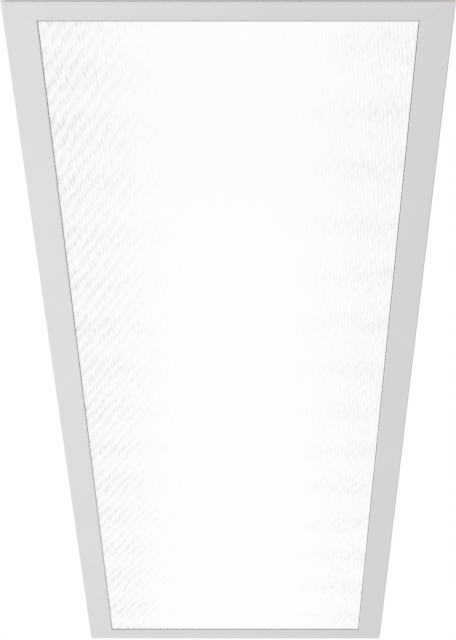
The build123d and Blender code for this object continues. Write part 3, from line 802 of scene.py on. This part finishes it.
def screw_shape(head, rise, shank, length):
    """A domed head with a cross recess over z = 0, and a shank with a point below."""

    def cross(x, y):
        near, far = np.minimum(abs(x), abs(y)), np.maximum(abs(x), abs(y))
        arm = np.clip(1.6 - near / (head * ARM_WIDTH), 0, 1)
        arm = arm * np.clip((head * ARM_REACH - far) / (head * ARM_END), 0, 1)
        return arm * rise * RECESS

    steps = np.linspace(0, 1, 9)
    dome = [(head * 0.80 * s, rise * (1 - 0.22 * s * s)) for s in steps]
    edge = [(head * 0.94, rise * 0.55), (head, rise * 0.22), (head, 0), (shank, 0)]
    end = [(shank, -length * 0.85), (shank * 0.6, -length), (0, -length)]
    return turned(dome + edge + end, cross)


def rivet_shape(head, rise, shank, grip):
    """Two domed heads, a grip apart, on one shank."""
    bow = np.linspace(0, 1, 6)
    dome = [(head * s, grip / 2 + rise * math.sqrt(1 - 0.96 * s * s)) for s in bow]
    upper = dome + [(head, grip / 2), (shank, grip / 2)]
    return turned(upper + [(r, -z) for r, z in reversed(upper)])


print("a screw has", len(screw_shape(**SCREW)[1]), "quads before its poles close")

# %% Put the screws where their solids are
SMOOTH = 40  # degrees; edges flatter than this are shaded round
zinc = (metals["zinc_plate"], "zinc_steel")
SCREWS = [  # node, body, which way the heads look, finish and slot
    ("end_plate_screws", "housing", 1, *zinc),
    ("access_screw", "access_plate", 1, *zinc),
    ("board_screws", "housing", -1, *zinc),
    ("cover_screws", "wireway_cover", -1, *zinc),
    ("driver_screws", "housing", -1, *zinc),
    ("ground_screw", "housing", -1, plastics["green_insulation"], "ground_green"),
]
for node, body, up, material, slot in SCREWS:
    boxes = solids_of(node)
    seats = (boxes[:, 0] + boxes[:, 1]) / 2
    top = boxes[:, 1, 2] if up > 0 else boxes[:, 0, 2]
    seats[:, 2] = top - up * SCREW["rise"]
    shape = copies(pointed(screw_shape(**SCREW), 2, up), seats)
    piece(f"{node}_turned", body, shape, material, slot, [node], SMOOTH)

# %% Put the rivets where their solids are
for node, body in (("corner_rivets", "door"), ("grid_clip_rivets", "housing")):
    boxes = solids_of(node)
    middles, sizes = (boxes[:, 0] + boxes[:, 1]) / 2, boxes[:, 1] - boxes[:, 0]
    ways = sizes.argmin(axis=1)
    grip = sizes.min() - 2 * RIVET["rise"]
    shapes = [copies(pointed(rivet_shape(grip=grip, **RIVET), way), middles[ways == way])
              for way in np.unique(ways)]
    piece(f"{node}_turned", body, together(*shapes), *zinc, [node], SMOOTH)

# %% [markdown]
# ## Leads
# The leads are stranded wire in round insulation, cut to length and bent by hand between the
# driver, the boards and the supply connector, where both of their ends are held. A NURBS spline of
# order 3 suits such a wire: it leaves its first point and reaches its last along the route, and it
# rounds every corner between them by itself. A point on a run close to a corner keeps the bend
# short. Blender's bevel gives the spline the wire's thickness and closes its ends.

# %% A lead along a spline
LEAD_RADIUS = 0.0012
LEAD_PITCH = 0.006
SPLINE_STEPS, BEVEL_STEPS = 6, 3


def leads(name, routes, material, node):
    """One curve object with a spline for each route of points."""
    curve = bpy.data.curves.new(name, "CURVE")
    curve.dimensions, curve.resolution_u = "3D", SPLINE_STEPS
    curve.bevel_depth, curve.bevel_resolution = LEAD_RADIUS, BEVEL_STEPS
    curve.use_fill_caps = True
    for route in routes:
        spline = curve.splines.new("NURBS")
        spline.points.add(len(route) - 1)
        spline.points.foreach_set("co", np.c_[np.array(route, float), np.ones(len(route))].ravel())
        spline.order_u, spline.use_endpoint_u = 3, True
    curve.materials.append(material)
    add_object(name, curve, "housing", [node])
    print(name, [round(spline.calc_length() * 1000) for spline in curve.splines], "mm long")


case_low, case_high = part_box("driver_case")
plug_low, plug_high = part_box("supply_disconnect")
lead_z = (plug_low[2] + plug_high[2]) / 2
back_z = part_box("driver_base")[1][2]
cover_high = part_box("driver_cover")[1]
print("leads leave the driver at z =", round(lead_z, 4), "below the back at", round(back_z, 4))

# %% The four leads to the boards
NOTCH_DROP, NOTCH_INSET = 0.004, 0.012
BEND = 0.009
RAMP_ENTRY = 1.4  # how far before its notch a lead starts to climb, in times its climb
solids = solids_of("output_leads")
order = np.argsort(solids[:, 0, 0] + solids[:, 1, 0])
notch_z = back_z - NOTCH_DROP
rise = notch_z - lead_z
routes = []
for index, (low, high) in enumerate(solids[order]):
    side = 1 if index >= BOARDS / 2 else -1
    board_x = high[0] if side > 0 else low[0]
    start_x = (index - (BOARDS - 1) / 2) * LEAD_PITCH
    y = low[1] + LEAD_RADIUS
    notch_x = side * (cover_high[0] - NOTCH_INSET)
    routes.append([
        (start_x, case_low[1], lead_z), (start_x, y + BEND, lead_z), (start_x, y, lead_z),
        (start_x + side * BEND, y, lead_z), (notch_x - side * RAMP_ENTRY * rise, y, lead_z),
        (notch_x - side * rise, y, lead_z), (notch_x - side * rise / 2, y, lead_z + rise / 2),
        (notch_x, y, notch_z), (notch_x + side * BEND, y, notch_z), (board_x, y, notch_z)])
leads("board_leads", routes, plastics["red_insulation"], "output_leads")

# %% The supply leads and the ground lead
halfway_y = (case_high[1] + plug_low[1]) / 2
routes = [[(x, y, lead_z) for y in (case_high[1], halfway_y, plug_low[1])]
          for x in (-LEAD_PITCH / 2, LEAD_PITCH / 2)]
leads("mains_leads", routes, plastics["black_insulation"], "supply_leads")
screw_low, screw_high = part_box("ground_screw")
ground_x, ground_y = (screw_low[0] + screw_high[0]) / 2, (screw_low[1] + screw_high[1]) / 2
plug_y = (plug_low[1] + plug_high[1]) / 2
ground_bend = (back_z - lead_z) / 4
route = [(ground_x, ground_y, screw_low[2]), (ground_x, ground_y, lead_z + ground_bend),
         (ground_x, ground_y, lead_z), (ground_x, ground_y + ground_bend, lead_z),
         (ground_x, plug_y - ground_bend, lead_z), (ground_x, plug_y, lead_z),
         (ground_x + ground_bend, plug_y, lead_z), (plug_low[0], plug_y, lead_z)]
leads("earth_lead", [route], plastics["green_insulation"], "ground_lead")

# %% [markdown]
# ## Light, floor and background
# A light fitting hangs in a bright room: soft light comes from everywhere, a little more from the
# left. The world gives the even part, one large lamp stands below on the left and faces straight
# up, so that it lights no floor, a weak one stands at the near end, and a third hangs above for
# the back, all at a level where a colour renders about as it is written. The floor is pale and
# 2.4 m below, so it shows only from above, where it takes the object's shadow; far from the object
# it turns as white as the world, so that it has no edge. Camera, glossy and transmission rays see
# that white world, so metal and acrylic mirror the same white that stands behind the light.

# %% The world, and where a ray comes from
WHITE = (1.0, 1.0, 1.0)
WORLD_LEVEL = 0.753


def seen_rays(tree_owner):
    """1 for camera, glossy and transmission rays, 0 for the rays that light a surface."""
    rays = [tree_owner.node("LightPath", out=name)
            for name in ("Is Camera Ray", "Is Glossy Ray", "Is Transmission Ray")]
    return (rays[0] + rays[1] + rays[2]).at_most(1)


sky = Finish(bpy.data.worlds.new("room"))
bpy.context.scene.world = sky.owner
even = sky.node("Background", {"Color": WHITE, "Strength": WORLD_LEVEL})
white = sky.node("Background", {"Color": WHITE, "Strength": 1.0})
sky.node("OutputWorld", {"Surface": sky.node("MixShader", {0: seen_rays(sky), 1: even, 2: white})})
print("world:", sky.owner.name, "lights at", WORLD_LEVEL, "and is seen as white")

# %% The floor
FLOOR_Z, FLOOR_REACH = -2.4, 12.0
FADE = (3.5, 11.0)  # the distances from the middle between which the floor turns white
WHITE_NEARBY = 0.45  # how much of a seen floor is plain white under the object
SPECKLE_GRAIN = 0.25
PALE, PALER = (0.84, 0.84, 0.84), (0.86, 0.86, 0.86)
floor_paint = finish("floor")
floor_point = floor_paint.point()
floor_x, floor_y = floor_paint.x_and_y(floor_point)
far_off = ((floor_x * floor_x + floor_y * floor_y) ** 0.5).step(*FADE)
speckle = floor_paint.noise(floor_point, SPECKLE_GRAIN, 3.0)
floor_colour = floor_paint.mix(speckle, PALE, PALER)
diffuse = floor_paint.node("BsdfDiffuse", {"Color": floor_colour})
bright = floor_paint.node("Emission", {"Color": WHITE, "Strength": 1.0})
part_white = seen_rays(floor_paint) * (WHITE_NEARBY + (1 - WHITE_NEARBY) * far_off)
blended = floor_paint.node("MixShader", {0: part_white, 1: diffuse, 2: bright})
floor_paint.node("OutputMaterial", {"Surface": blended})
corner = np.array([-FLOOR_REACH, FLOOR_REACH])
floor_points = np.stack([*np.meshgrid(corner, corner), np.full((2, 2), FLOOR_Z)], axis=-1)
floor_mesh = bpy.data.meshes.new("floor")
floor_mesh.from_pydata(floor_points.reshape(-1, 3).tolist(), [], [[0, 1, 3, 2]])
floor_mesh.materials.append(floor_paint.owner)
floor = bpy.data.objects.new("floor", floor_mesh)
bpy.context.collection.objects.link(floor)
print("floor", 2 * FLOOR_REACH, "m wide at z =", FLOOR_Z)

# %% The lamps
LAMPS = {  # place, aim, width, watts
    "lamp_left": ((-1.7, 0.3, -2.1), (-1.7, 0.3, 0), 2.8, 22.5),
    "lamp_near": ((-0.5, -2.8, -0.8), (0, 0, 0), 1.2, 5.0),
    "lamp_top": ((-1.2, -1.4, 2.4), (0, 0, 0), 3.0, 24.0),
}


def soft_lamp(name, place, aim, width, watts):
    """A square area lamp that looks at aim."""
    lamp = bpy.data.objects.new(name, bpy.data.lights.new(name, "AREA"))
    lamp.data.shape, lamp.data.size, lamp.data.energy = "SQUARE", width, watts
    bpy.context.collection.objects.link(lamp)
    way = np.array(aim, float) - place
    lamp.location = place
    flat = math.hypot(way[0], way[1])
    lamp.rotation_euler = Euler((math.atan2(flat, -way[2]), 0, math.atan2(-way[0], way[1])))
    print(name, watts, "W over", width, "m")


for name, settings in LAMPS.items():
    soft_lamp(name, *settings)

bpy.context.scene.view_settings.view_transform = "Standard"
